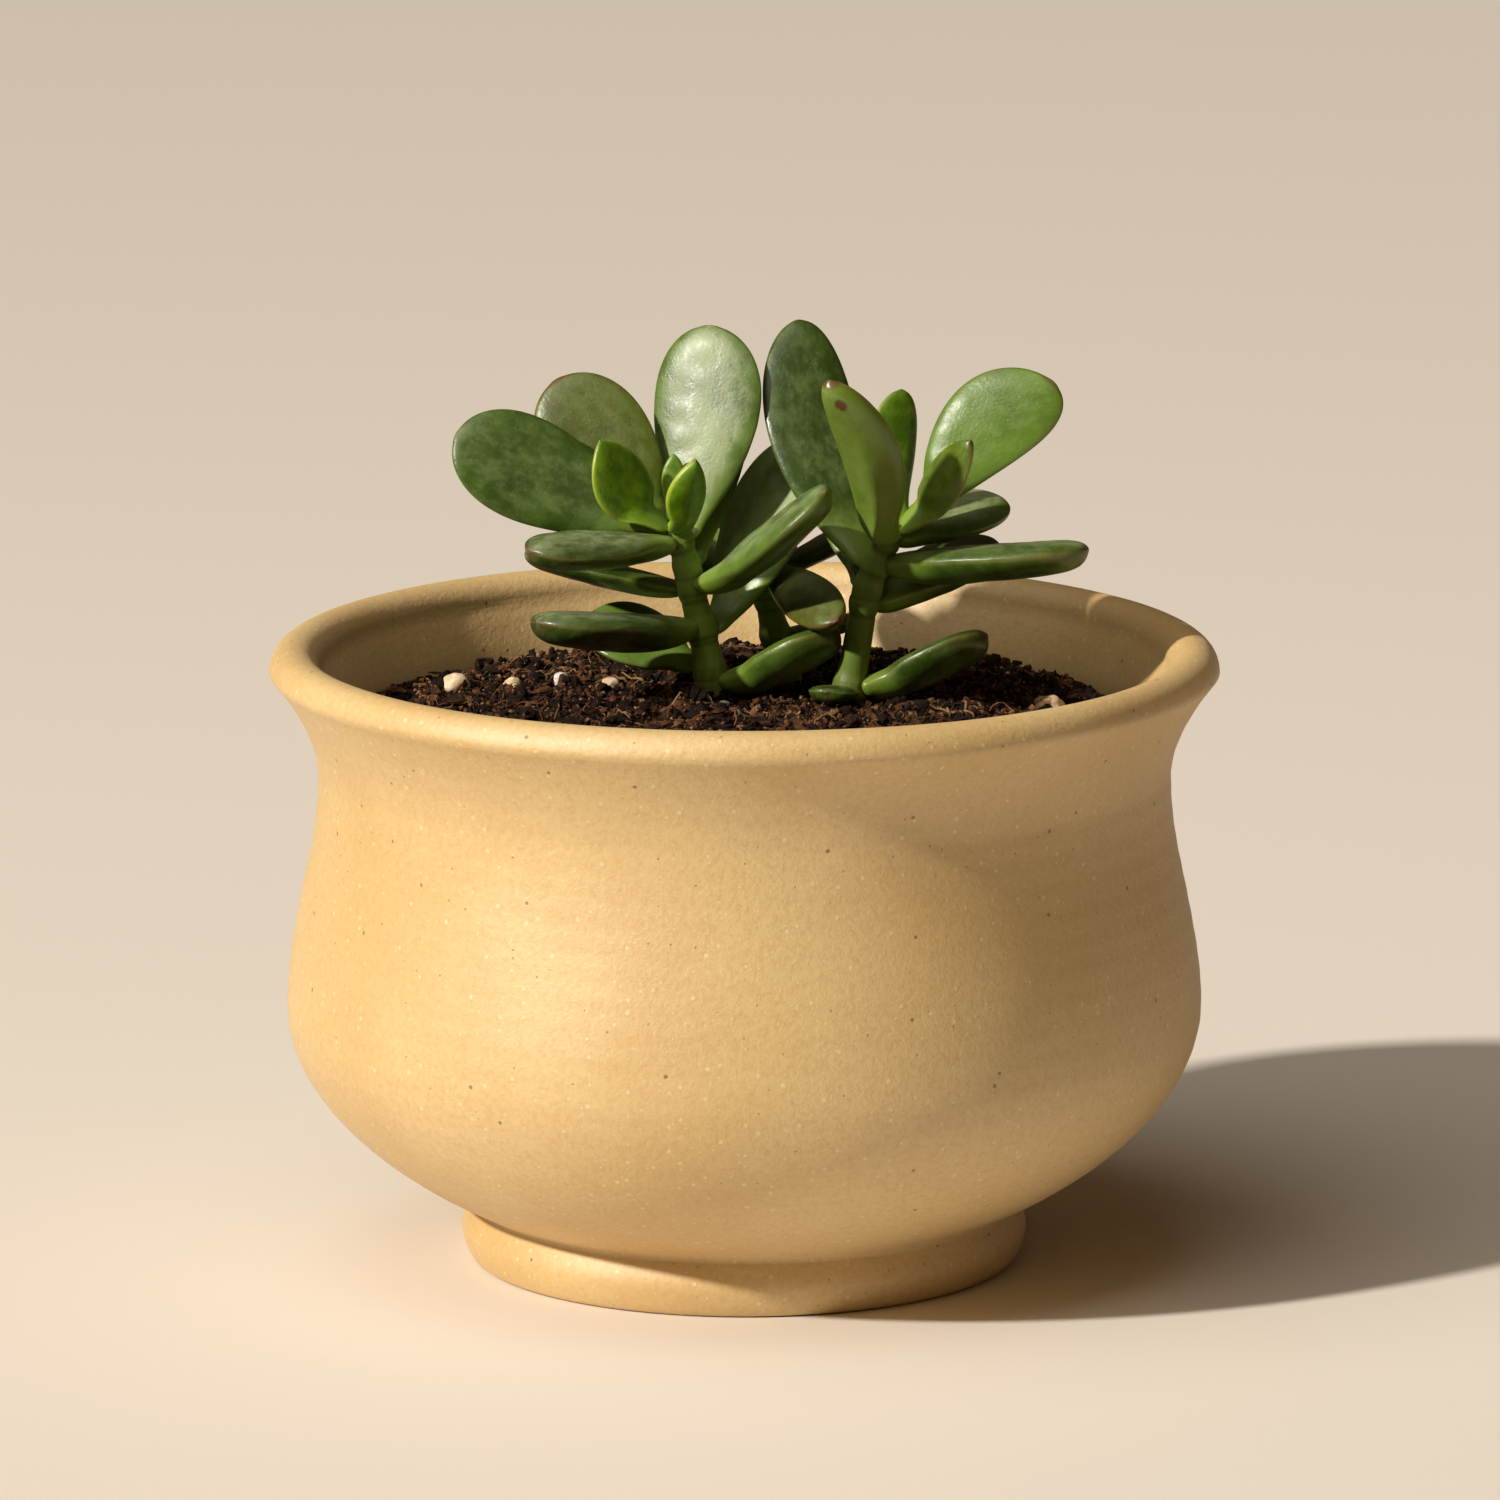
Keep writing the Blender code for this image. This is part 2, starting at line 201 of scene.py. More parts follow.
pot = dict(lipWidth=6.4, neckRadius=53.9, neckDrop=16.5, bellyRadius=58.0, bellyHeight=33.0,
           waistRadius=34.4, footHeight=7.5, footBulge=1.6, footWidth=6.0, footRecess=3.5, wall=4.4,
           floorHeight=10.0, drainRadius=6.0, drainRound=0.8, fullness=0.88, flare=1.8, footRound=0.9,
           ringRound=0.8, ringLift=0.6, recessRound=0.9, recessRun=1.3, around=352, wobble=0.22,
           wobblePitch=34, dent=0.05, dentPitch=7, throwing=0.02, throwingPitch=3.4, throwingDrift=60,
           rimDip=0.12, rimDipPitch=30)
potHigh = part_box("pot")[1]
rimRadius = potHigh[0] / mm
potHeight = potHigh[2] / mm
lipRadius = pot["lipWidth"] / 2
lipHeight = potHeight - lipRadius
neckHeight = potHeight - pot["neckDrop"]


def outerRadius(z):
    # a full belly that eases in to the neck, then flares to the rim
    below = np.clip((z - pot["footHeight"]) / (pot["bellyHeight"] - pot["footHeight"]), 0, 1)
    belly = pot["waistRadius"] + (pot["bellyRadius"] - pot["waistRadius"]) \
        * (1 - (1 - below) ** 2) ** pot["fullness"]
    middle = np.clip((z - pot["bellyHeight"]) / (neckHeight - pot["bellyHeight"]), 0, 1)
    neck = pot["bellyRadius"] - (pot["bellyRadius"] - pot["neckRadius"]) * (1 - np.cos(np.pi * middle)) / 2
    above = np.clip((z - neckHeight) / (lipHeight - neckHeight), 0, 1)
    rim = pot["neckRadius"] + (rimRadius - pot["neckRadius"]) * above ** pot["flare"]
    return np.where(z < pot["bellyHeight"], belly, np.where(z < neckHeight, neck, rim))


def innerRadius(z):
    # the wall's thickness in from the outside, growing to the lip's width
    above = np.clip((z - neckHeight) / (lipHeight - neckHeight), 0, 1)
    return outerRadius(z) - pot["wall"] - (pot["lipWidth"] - pot["wall"]) * above ** pot["flare"]


def corner(a, b, c, steps=5):
    # a short round from a to c that stays inside the corner b
    t = np.linspace(0, 1, steps)[:, None]
    return (1 - t) ** 2 * np.array(a) + 2 * t * (1 - t) * np.array(b) + t ** 2 * np.array(c)


def potSection():
    # the whole wall as one closed line of radius and height: lip, outside, foot, underside, drain, inside
    turn = np.linspace(0, np.pi, 17)
    lip = np.stack([rimRadius - lipRadius * (1 + np.cos(turn)), lipHeight + lipRadius * np.sin(turn)], 1)
    z = np.linspace(lipHeight, pot["bellyHeight"], 62)[1:]
    upper = np.stack([outerRadius(z), z], 1)
    down = 1 - np.linspace(0, 1, 42)[1:-1] ** 1.4
    z = pot["footHeight"] + (pot["bellyHeight"] - pot["footHeight"]) * down
    lower = np.stack([outerRadius(z), z], 1)
    t = np.linspace(0.03, 0.93, 16)
    waist, ringIn = pot["waistRadius"], pot["waistRadius"] - pot["footWidth"]
    foot = np.stack([waist + pot["footBulge"] * np.sin(np.pi * t), pot["footHeight"] * (1 - t)], 1)
    edge = corner(foot[-1], (waist, 0.0), (waist - pot["footRound"], 0.0))[1:]
    lift = pot["ringLift"]
    ring = corner((ringIn + pot["ringRound"], 0.0), (ringIn, 0.0), (ringIn - lift, lift))
    recess, recessIn, bend = pot["footRecess"], ringIn - pot["footRecess"], pot["recessRound"]
    recessEnd = recessIn - pot["recessRun"]
    under = corner((recessIn + bend, recess - bend), (recessIn, recess), (recessEnd, recess))
    drain, floor, bend = pot["drainRadius"], pot["floorHeight"], pot["drainRound"]
    hole = np.concatenate([corner((drain + bend, recess), (drain, recess), (drain, recess + bend)),
                           corner((drain, floor - bend), (drain, floor), (drain + bend, floor))])
    z = np.linspace(floor, lipHeight, 60)[1:-1]
    inside = np.stack([innerRadius(z), z], 1)
    return np.concatenate([lip, upper, lower, foot, edge, ring, under, hole, inside])


clay = dict(low="#D0AD6D", high="#DABB80", sand="#BE9350", cloudSize=38, sandSize=0.9, gritSize=0.55,
            depth=0.13)
claySpecks = {  # spacing and radius in mm, share of cells that hold one, tint, strength, height
    "grog": (1.6, 0.30, 0.3, "#F3DDAE", 0.45, 0.18),
    "fineGrog": (0.8, 0.17, 0.22, "#EED6A2", 0.4, 0.0),
    "iron": (3.4, 0.27, 0.26, "#6A4A24", 0.75, -0.5),
    "fineIron": (1.5, 0.15, 0.2, "#7A5428", 0.6, -0.5),
}


def speckledStoneware():
    # stoneware clay with grog, bisque-matt outside: sandy to the eye, cream grog specks, a few iron spots.
    # Real sand and grit are 0.1 to 0.3 mm, too fine to show, so both are drawn as coarse as they need to be
    made, tree, shader = startMaterial("speckled_stoneware", Roughness=0.57, IOR=1.58, Specular_IOR_Level=1.0,
                                       Sheen_Weight=0.06, Sheen_Roughness=0.6)
    place = addNode(tree, "TexCoord", output="Object")
    cloud = addNode(tree, "TexNoise", Vector=place, Scale=perMetre(clay["cloudSize"]), Detail=3.0)
    sand = addNode(tree, "TexNoise", Vector=place, Scale=perMetre(clay["sandSize"]), Detail=5.0,
                   Roughness=0.7)
    grit = addNode(tree, "TexNoise", Vector=place, Scale=perMetre(clay["gritSize"]), Detail=2.0,
                   Roughness=0.6)
    warm = addNode(tree, "MapRange", cloud, 0.35, 0.65, **soft)
    body = paintOver(tree, linearColour(clay["low"]), clay["high"], warm)
    body = paintOver(tree, body, clay["sand"], addNode(tree, "MapRange", sand, 0.4, 0.68, **soft), 0.35)
    relief = addNode(tree, "Math", grit, 0.4, sand, **timesPlus)
    for spacing, radius, share, tint, strength, height in claySpecks.values():
        speck = specks(tree, place, spacing, radius, share)
        body = paintOver(tree, body, tint, speck, strength)
        relief = addNode(tree, "Math", speck, height, relief, **timesPlus)
    giveSurface(tree, shader, body, relief, 0.7, clay["depth"])
    return made


def buildPot():
    # the section turned round the axis, pushed in and out by slow hills and fine throwing rings
    section = potSection()
    turn = np.linspace(0, 2 * np.pi, pot["around"], endpoint=False)
    r, z = section[:, 0][:, None], np.broadcast_to(section[:, 1][:, None], (len(section), pot["around"]))
    points = np.stack([r * np.cos(turn), r * np.sin(turn), z], axis=-1)
    drift = 2.5 * hills(points, pot["throwingDrift"], 3)
    rings = np.sin(2 * np.pi * z / pot["throwingPitch"] + drift) * pot["throwing"]
    clear = ease((r - pot["waistRadius"] * 0.5) / 12) * ease((z - 0.4) / 3)
    wobble = pot["wobble"] * hills(points, pot["wobblePitch"], 1)
    push = (wobble + pot["dent"] * hills(points, pot["dentPitch"], 2) + rings) * clear
    inward = np.minimum(push, rimRadius - 0.02 - r)  # never proud of the rim
    points[..., 0] += inward * np.cos(turn)
    points[..., 1] += inward * np.sin(turn)
    dip = pot["rimDip"] * hills(points, pot["rimDipPitch"], 5) * ease((z - 70) / 6)
    points[..., 2] += np.minimum(dip, 0.0)
    faces = wrapFaces(len(section), pot["around"])
    makePiece("stoneware_pot", points * mm, faces, speckledStoneware(), "stoneware", ["pot"])
    print("pot: stoneware wall made")


soil = dict(drop=10.0, mound=1.4, gap=0.3, around=352, rows=150, settle=0.3, tonePitch=5.0, toneShare=0.5,
            crumbs=[(0.8, 8.0), (0.95, 3.6), (0.5, 1.6)])  # height and pitch of each layer of crumbly hills
soilLevel = potHeight - soil["drop"]
# heaps on the mound: x, y, spread, height
heaps = [(-11.0, 2.0, 7.0, 1.7), (-3.0, -4.0, 5.0, 0.9), (22.0, -3.0, 7.5, 1.5), (34.0, 15.0, 6.0, 1.2),
         (-32.0, 12.0, 7.0, 0.8), (12.0, 30.0, 7.0, 1.0), (-20.0, 34.0, 9.0, 1.2), (-8.0, -26.0, 9.0, 1.2),
         (18.0, -28.0, 8.0, 0.9), (38.0, -10.0, 6.0, 0.8)]


def soilHeight(x, y):
    # a low mound with heaps and crumbly hills on it, level with the wall where it meets the pot
    reach = np.hypot(x, y) / innerRadius(np.array(soilLevel))
    flat = np.stack([x, y, np.zeros_like(x)], axis=-1)
    top = soilLevel + soil["mound"] * np.clip(1 - reach ** 2, 0, 1)
    for heapX, heapY, spread, height in heaps:
        top = top + height * np.exp(-((x - heapX) ** 2 + (y - heapY) ** 2) / spread ** 2)
    crumbly = sum(height * hills(flat, pitch, 21 + i) for i, (height, pitch) in enumerate(soil["crumbs"]))
    return top + crumbly * (0.35 + 0.65 * np.clip((1 - reach) * 6, 0, 1)) - soil["settle"]


peat = dict(damp="#20140C", brown="#70492E", tan="#B08860", straw="#CBA678", fineSize=0.8, broadSize=6,
            depth=0.6)


def pottingMix():
    # peat and composted bark: near black where damp, brown and tan where dry fibres catch the light
    made, tree, shader = startMaterial("potting_mix", Roughness=0.9, IOR=1.45, Specular_IOR_Level=0.25)
    place = addNode(tree, "TexCoord", output="Object")
    dry = addNode(tree, "Attribute", attribute_name="tone", output="Fac")
    fine = addNode(tree, "TexNoise", Vector=place, Scale=perMetre(peat["fineSize"]), Detail=6.0,
                   Roughness=0.75)
    broad = addNode(tree, "TexNoise", Vector=place, Scale=perMetre(peat["broadSize"]), Detail=3.0)
    for noise, weight in ((fine, 0.75), (broad, 0.5)):
        dry = addNode(tree, "Math", noise, weight, dry, **timesPlus)
    colour = linearColour(peat["damp"])
    for low, high, tint in ((0.67, 1.07, "brown"), (1.07, 1.47, "tan"), (1.47, 1.82, "straw")):
        colour = paintOver(tree, colour, peat[tint], addNode(tree, "MapRange", dry, low, high, **soft))
    giveSurface(tree, shader, colour, fine, 1.0, peat["depth"])
    return made


def buildSoil(mix):
    # rings of the mound out to the wall, then rings down the wall's inside to the floor
    radius = float(innerRadius(np.array(soilLevel))) - soil["gap"]
    reach = np.linspace(0, 1, soil["rows"])[1:]
    turn = np.linspace(0, 2 * np.pi, soil["around"], endpoint=False)
    x, y = reach[:, None] * radius * np.cos(turn), reach[:, None] * radius * np.sin(turn)
    top = np.stack([x, y, soilHeight(x, y)], axis=-1)
    z = np.linspace(soilLevel - 1.5, pot["floorHeight"] + soil["gap"], 24)
    r = innerRadius(z) - soil["gap"]
    side = np.stack([r[:, None] * np.cos(turn), r[:, None] * np.sin(turn),
                     np.broadcast_to(z[:, None], (len(z), len(turn)))], axis=-1)
    rings = np.concatenate([top, side])
    peak = float(soilHeight(np.zeros(1), np.zeros(1))[0])
    ends = [[0, 0, peak], [0, 0, pot["floorHeight"] + soil["gap"]]]
    points = np.concatenate([rings.reshape(-1, 3), ends])
    tone = soil["toneShare"] * roughHills(points, soil["tonePitch"], 31)
    makePiece("soil_bed", points * mm, ballFaces(len(rings), soil["around"]), mix, "soil_mix", ["soil"],
              {"tone": tone})


def unit(vectors, axis):
    # the same directions with a length of 1
    return vectors / np.linalg.norm(vectors, axis=axis, keepdims=True)


def unitBall(rows, around):
    # ring points and two ends of a ball of radius 1
    down = np.linspace(0, np.pi, rows + 2)[1:-1]
    turn = np.linspace(0, 2 * np.pi, around, endpoint=False)
    ball = np.stack([np.sin(down)[:, None] * np.cos(turn), np.sin(down)[:, None] * np.sin(turn),
                     np.broadcast_to(np.cos(down)[:, None], (rows, around))], axis=-1).reshape(-1, 3)
    return np.concatenate([ball, [[0, 0, 1], [0, 0, -1]]])


def randomTurns(count):
    # one random rotation each, from unit quaternions
    w, x, y, z = unit(chance.normal(size=(4, count)), 0)
    return np.moveaxis(np.array([[1 - 2 * (y * y + z * z), 2 * (x * y - z * w), 2 * (x * z + y * w)],
                                 [2 * (x * y + z * w), 1 - 2 * (x * x + z * z), 2 * (y * z - x * w)],
                                 [2 * (x * z - y * w), 2 * (y * z + x * w), 1 - 2 * (x * x + y * y)]]), 2, 0)


def lyingTurns(count, tilt):
    # any heading, tipped only a little out of level
    turn, tip = chance.random(count) * 2 * np.pi, chance.normal(0, tilt, count)
    c, s, e, f, o = np.cos(turn), np.sin(turn), np.cos(tip), np.sin(tip), np.zeros(count)
    return np.moveaxis(np.array([[c, -s * e, s * f], [s, c * e, -c * f], [o, f, e]]), 2, 0)


def scatterPlaces(count, edge):
    # even over the soil's disc, up to edge millimetres from its rim
    far = (float(innerRadius(np.array(soilLevel))) - soil["gap"] - edge) * np.sqrt(chance.random(count))
    turn = chance.random(count) * 2 * np.pi
    return far * np.cos(turn), far * np.sin(turn)


def scatter(name, mix, count, sizes, shape, rows, around, rough, sink, tones, lie=None):
    # many irregular grains in one piece: each a ball pushed about, stretched, turned and laid on the soil
    ball = unitBall(rows, around)
    size = sizes[0] + (sizes[1] - sizes[0]) * chance.random(count) ** 2.2
    grain = ball * (1 + rough * chance.uniform(-1, 1, (count, len(ball), 1)))
    grain = grain * np.array(shape) * (1 + 0.25 * chance.uniform(-1, 1, (count, 1, 3)))
    turns = randomTurns(count) if lie is None else lyingTurns(count, lie)
    grain = np.einsum("nij,nkj->nki", turns, grain) * size[:, None, None] / 2
    x, y = scatterPlaces(count, sizes[1] * 0.5)
    z = soilHeight(x, y) + size * (chance.uniform(-0.2, 0.5, count) - sink)
    points = grain + np.stack([x, y, z], axis=-1)[:, None, :]
    tone = np.repeat(chance.uniform(*tones, count), len(ball))
    makePiece(name, points * mm, ballFaces(rows, around, count), mix, "soil_mix", (), {"tone": tone}, False)


def sweep(path, radius, around):
    # tubes round paths (count, points, 3): rings square to each path, then its two ends
    along = unit(np.gradient(path, axis=1), 2)
    away = np.where(np.abs(along[:, :1, 2:]) > 0.7, [1.0, 0, 0], [0, 0, 1.0])
    side = unit(np.cross(along, np.broadcast_to(away, along.shape)), 2)
    up = np.cross(side, along)
    turn = np.linspace(0, 2 * np.pi, around, endpoint=False)[:, None]
    ring = side[:, :, None] * np.cos(turn) + up[:, :, None] * np.sin(turn)
    rings = path[:, :, None] + ring * radius[..., None, None]
    return np.concatenate([rings.reshape(len(path), -1, 3), path[:, :1], path[:, -1:]], axis=1)


rootlets = dict(count=620, steps=9, around=5, edge=5.0, turning=0.38, stride=0.25, moreStride=0.95,
                farthest=45.0, lift=0.35, arch=0.9, jitter=0.25, radius=0.07, moreRadius=0.16, taper=0.5,
                tones=(0.2, 0.75))


def buildFibres(mix):
    # rootlets and peat fibres: thin tubes that wander over the soil and dip into it
    count, steps, around = rootlets["count"], rootlets["steps"], rootlets["around"]
    x, y = scatterPlaces(count, rootlets["edge"])
    heading = chance.random(count)[:, None] * 2 * np.pi
    heading = heading + np.cumsum(chance.normal(0, rootlets["turning"], (count, steps)), axis=1)
    stride = (rootlets["stride"] + rootlets["moreStride"] * chance.random(count) ** 2)[:, None]
    x = x[:, None] + np.cumsum(np.cos(heading) * stride, axis=1)
    y = y[:, None] + np.cumsum(np.sin(heading) * stride, axis=1)
    inside = np.minimum(1.0, rootlets["farthest"] / np.hypot(x, y))
    x, y = x * inside, y * inside
    arch = np.sin(np.linspace(0, np.pi, steps)) * (rootlets["arch"] * chance.random(count) ** 2)[:, None]
    jitter = rootlets["jitter"] * chance.normal(size=(count, steps)) * stride
    z = soilHeight(x, y) + rootlets["lift"] + arch + jitter
    radius = (rootlets["radius"] + rootlets["moreRadius"] * chance.random(count) ** 3)[:, None]
    radius = radius * np.linspace(1.0, rootlets["taper"], steps)
    points = sweep(np.stack([x, y, z], axis=-1), radius, around)
    tone = np.repeat(chance.uniform(*rootlets["tones"], count), steps * around + 2)
    makePiece("soil_rootlets", points * mm, ballFaces(steps, around, count), mix, "soil_mix", (),
              {"tone": tone})


# sizes in mm, rings and points of each grain, how rough and how sunk it is, its tones and its tilt
looseSoil = {
    "soil_dust": dict(count=8200, sizes=(0.25, 0.75), shape=(1, 1, 0.8), rows=2, around=5, rough=0.35,
                      sink=-0.35, tones=(-0.2, 0.8)),
    "soil_fines": dict(count=5300, sizes=(0.45, 1.3), shape=(1, 0.9, 0.8), rows=3, around=6, rough=0.38,
                       sink=-0.1, tones=(-0.3, 0.6)),
    "soil_crumbs": dict(count=1900, sizes=(0.9, 2.4), shape=(1, 0.85, 0.7), rows=4, around=7, rough=0.36,
                        sink=0.15, tones=(-0.45, 0.3)),
    "soil_bark_chips": dict(count=300, sizes=(1.4, 3.6), shape=(1, 0.42, 0.2), rows=3, around=6, rough=0.3,
                            sink=-0.1, tones=(-0.3, 0.5), lie=0.3),
}


def buildMix():
    mix = pottingMix()
    buildSoil(mix)
    for name, values in looseSoil.items():
        scatter(name, mix, **values)
    buildFibres(mix)
    print("soil: bed, crumbs, bark chips and rootlets made")


def whitePerlite():
    # expanded volcanic glass: chalk white, rough and full of tiny pits
    made, tree, shader = startMaterial("expanded_perlite", Roughness=0.85, IOR=1.5, Specular_IOR_Level=0.3)
    place = addNode(tree, "TexCoord", output="Object")
    pits = addNode(tree, "TexNoise", Vector=place, Scale=perMetre(0.5), Detail=3.0)
    chalk = addNode(tree, "MapRange", pits, 0.35, 0.6, **soft)
    colour = paintOver(tree, linearColour("#C9C0B4"), "#F4F0EA", chalk)
    giveSurface(tree, shader, colour, pits, 0.8, 0.25)
    return made


def creamPebble():
    # water-worn grit, cream to tan, with soil smeared into its hollows
    made, tree, shader = startMaterial("cream_grit", Roughness=0.7, IOR=1.5, Specular_IOR_Level=0.35)
    place = addNode(tree, "TexCoord", output="Object")
    patch = addNode(tree, "TexNoise", Vector=place, Scale=perMetre(2.4), Detail=4.0, Roughness=0.65)
    colour = linearColour("#7A573A")
    for low, high, tint in ((0.38, 0.52, "#D9B893"), (0.52, 0.7, "#EFDCC0")):
        colour = paintOver(tree, colour, tint, addNode(tree, "MapRange", patch, low, high, **soft))
    giveSurface(tree, shader, colour, patch, 0.6, 0.3)
    return made


grain = dict(rows=22, around=32, lump=0.22, lumpPitch=0.9, proud=0.3)


def buildGrains():
    # each grain fills its CAD node's box, pushed about by rough hills, and rests on the soil
    finishes = {"perlite": whitePerlite(), "pebble": creamPebble()}
    ball = unitBall(grain["rows"], grain["around"])
    for seed, node in enumerate(sorted(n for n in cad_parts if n.startswith(("perlite", "pebble")))):
        kind = node.split("_")[0]
        low, high = (np.array(end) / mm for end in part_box(node))
        lumps = grain["lump"] * roughHills(ball + 5 * seed, grain["lumpPitch"], 40 + seed)
        points = ball * (1 + lumps)[:, None] * (high - low) / 2 + (low + high) / 2
        rest = soilHeight(*points.mean(axis=0)[:2]) + (high - low)[2] * grain["proud"]
        points[:, 2] += rest - points[:, 2].mean()
        faces = ballFaces(grain["rows"], grain["around"])
        makePiece(f"{node}_grain", points * mm, faces, finishes[kind], kind, [node])
    print("grains: perlite and pebbles made")


stemForm = dict(radius=2.0, tipRadius=1.5, rootDepth=12.0, budLength=2.6, around=40, rows=120, joint=0.32,
                jointSpread=1.1, scar=0.08, scarDrop=1.5, scarSpread=0.22, foot=0.5, footHeight=1.0,
                footSpread=1.6, steady=6, lump=0.09, lumpPitch=2.2)
# points up the middle of each stem: x, y and height above the soil
stems = {
    "left": [(-4.0, 8, 2), (-4.4, 8, 5), (-5.4, 8, 10), (-6.6, 8, 15), (-7.4, 7.8, 19), (-8.2, 7.6, 22)],
    "right": [(13.0, 4, 2), (13.6, 4, 5), (14.6, 4, 11), (15.4, 4, 16), (16.8, 3.9, 20), (18.0, 3.8, 22.4)],
    "back": [(5.0, 19, 2), (4.4, 19.3, 5), (3.2, 19.7, 11), (2.4, 20, 15), (2.0, 20, 17)],
}
# painted shade: how much each stem is darkened, the right one drawn as if it stood in shadow
stemPaintedShade = dict(left=0.0, right=0.4, back=0.0)  # how dark each one is


def stemAt(name, height):
    # the middle of a stem at a height above the soil, carried on upwards past its top point
    points = np.array(stems[name], float)
    height = np.asarray(height, float)
    at = np.clip(np.searchsorted(points[:, 2], height), 1, len(points) - 1)
    low, high = points[at - 1], points[at]
    share = ((height - low[..., 2]) / (high[..., 2] - low[..., 2]))[..., None]
    share = np.where((height < points[0, 2])[..., None], 0.0, share)
    middle = low + (high - low) * share
    middle[..., 2] = soilLevel + height
    return middle


def greenStem():
    # soft green succulent stem, browner and corky where it is oldest, with darker leaf scars, and painted
    # shade on a stem drawn as if it stood in shadow
    made, tree, shader = startMaterial("succulent_stem", Roughness=0.5, IOR=1.42, Subsurface_Weight=0.18,
                                       Subsurface_Scale=1.2 * mm, Subsurface_Radius=(0.6, 1.0, 0.25))
    place = addNode(tree, "TexCoord", output="Object")
    along, scar, paintedShade = (addNode(tree, "Attribute", attribute_name=key, output="Fac")
                          for key in ("along", "scar", "paintedShade"))
    long = addNode(tree, "Mapping", Vector=place, Scale=(1, 1, 0.3))
    streak = addNode(tree, "TexNoise", Vector=long, Scale=perMetre(1.2), Detail=4.0, Roughness=0.6)
    young = paintOver(tree, linearColour("#688F28"), "#96B048", streak)
    old = paintOver(tree, linearColour("#56661E"), "#8A8448", streak)
    age = addNode(tree, "Math", streak, 0.25, along, **timesPlus)
    colour = addNode(tree, "Mix", addNode(tree, "MapRange", age, 0.1, 0.55, **soft), old, young, **blend)
    # painted shade: a stem drawn as if in shadow is darkened towards a deep green
    colour = paintOver(tree, colour, "#2C3410", paintedShade)
    colour = paintOver(tree, colour, "#4E4A20", scar, 0.55)
    giveSurface(tree, shader, colour, streak, 0.5, 0.25)
    return made


def buildStems():
    # a tube up each stem: swollen at every leaf pair, a groove under it, spread at the soil, closed by a bud
    finish = greenStem()
    form = stemForm
    steady = 2 * form["steady"] + 1
    for name, points in stems.items():
        top = points[-1][2] + form["budLength"]
        rise = np.linspace(0, 1, form["rows"])
        height = -form["rootDepth"] + (top + form["rootDepth"]) * rise
        middle = stemAt(name, height)
        middle[:, :2] = np.stack([np.convolve(np.pad(middle[:, i], form["steady"], "edge"),
                                              np.ones(steady) / steady, "valid") for i in (0, 1)], axis=1)
        share = np.clip(height / points[-1][2], 0, 1)
        radius = form["radius"] + (form["tipRadius"] - form["radius"]) * share
        joints = [values["height"] for values in leaves.values() if values["stem"] == name]
        rings = sum(np.exp(-((height - joint) / form["jointSpread"]) ** 2) for joint in joints)
        scars = sum(np.exp(-((height - joint + form["scarDrop"]) / form["scarSpread"]) ** 2)
                    for joint in joints)
        radius = radius + form["joint"] * np.minimum(rings, 1) - form["scar"] * np.minimum(scars, 1)
        radius = radius + form["foot"] * np.exp(-((height - form["footHeight"]) / form["footSpread"]) ** 2)
        close = np.clip((top - height) / form["budLength"], 0, 1)
        radius = radius * np.sqrt(1 - (1 - close) ** 2 + 0.0004)
        radius = radius * np.sqrt(np.clip((height + form["rootDepth"]) / 1.0, 0.001, 1))
        tube = sweep(middle[None], radius[None], form["around"])[0]
        lumps = form["lump"] * roughHills(tube, form["lumpPitch"], 50)[:, None]
        tube = tube + lumps * (tube - tube.mean(axis=0)) / 8
        along = np.concatenate([np.repeat(np.clip(height / top, 0, 1), form["around"]), [0, 1]])
        scar = np.concatenate([np.repeat(np.minimum(scars, 1), form["around"]), [0, 0]])
        values = {"along": along, "scar": scar, "paintedShade": np.full(len(along), stemPaintedShade[name])}
        makePiece(f"jade_{name}_stem", tube * mm, ballFaces(form["rows"], form["around"]), finish, "stem",
                  [f"{name}_stem"], values)
    print("stems: three made")


leafShape = dict(around=44, rows=72, neck=3.2, neckRounding=0.05, upperShare=0.36, stemRadius=2.0, gap=0.3,
                 clasp=0.4, claspReach=1.8, bluntness=9, fullMiddle=0.2, upperEdge=0.62, lowerEdge=0.5,
                 keelWidth=0.3, bend=0.16, rootInset=0.9, pointLength=0.009,
                 waver=[(0.16, 5.0), (0.06, 1.8)])  # height and pitch of the blade's unevenness


def leaf(stem, height, azimuth, rise, roll, length, width, thick, **look):
    # angles in degrees, sizes in mm; the looks that most leaves share come first
    shared = dict(stem=stem, height=height, azimuth=azimuth, rise=rise, roll=roll, length=length,
                  width=width, thick=thick, curl=0.0, arch=0.0, sway=0.0, twist=0.0, dish=0.14, keel=0.1,
                  point=0.0, widest=0.62, mucro=0.12, tone=0.5, bloom=0.5, olive=0.0, blush=0.5, fleck=0.0,
                  young=0.0)
    return {**shared, **look}
